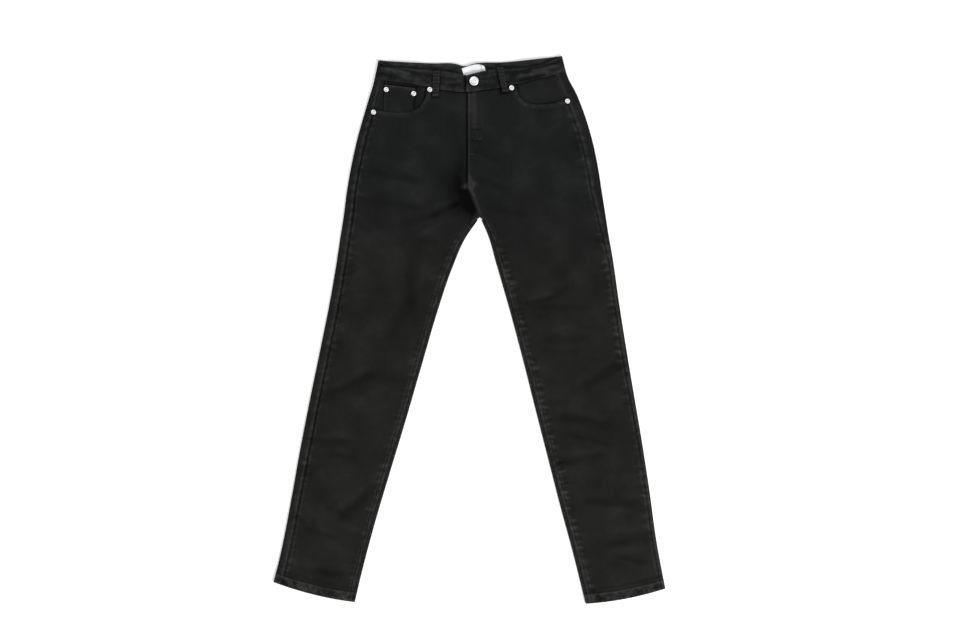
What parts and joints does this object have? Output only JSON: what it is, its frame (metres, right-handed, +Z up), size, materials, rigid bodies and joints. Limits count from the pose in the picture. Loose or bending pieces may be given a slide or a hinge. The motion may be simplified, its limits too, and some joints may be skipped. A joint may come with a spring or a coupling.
{
  "type": "slim trousers",
  "caption": "Slim five-pocket trousers of black twill, laid flat on their back with the front up and the legs a little apart.",
  "frame": {"origin": "on the surface that the trousers lie on, under the middle of their outline", "axes": "+X towards the wearer's left leg, +Y along the trousers towards the waistband, +Z up from the surface, out of the front"},
  "size_m": [0.729, 1.0187, 0.0121],
  "materials": {
    "twill": "matte black cotton twill",
    "metal": "satin silver button and rivets",
    "label": "white woven satin, blank"
  },
  "bodies": {
    "root": {"front_right": "twill", "front_left": "twill", "back_right": "twill", "back_left": "twill", "yoke_right": "twill", "yoke_left": "twill", "waistband": "twill", "pocket_facing_right": "twill", "pocket_facing_left": "twill", "coin_pocket": "twill", "back_pocket_right": "twill", "back_pocket_left": "twill", "belt_loop_front_right": "twill", "belt_loop_front_left": "twill", "belt_loop_back_right": "twill", "belt_loop_back_centre": "twill", "belt_loop_back_left": "twill", "label": "label", "button": "metal", "rivet_side_right": "metal", "rivet_coin_side": "metal", "rivet_coin_front": "metal", "rivet_scoop_right": "metal", "rivet_scoop_left": "metal", "rivet_side_left": "metal"}
  },
  "joints": []
}
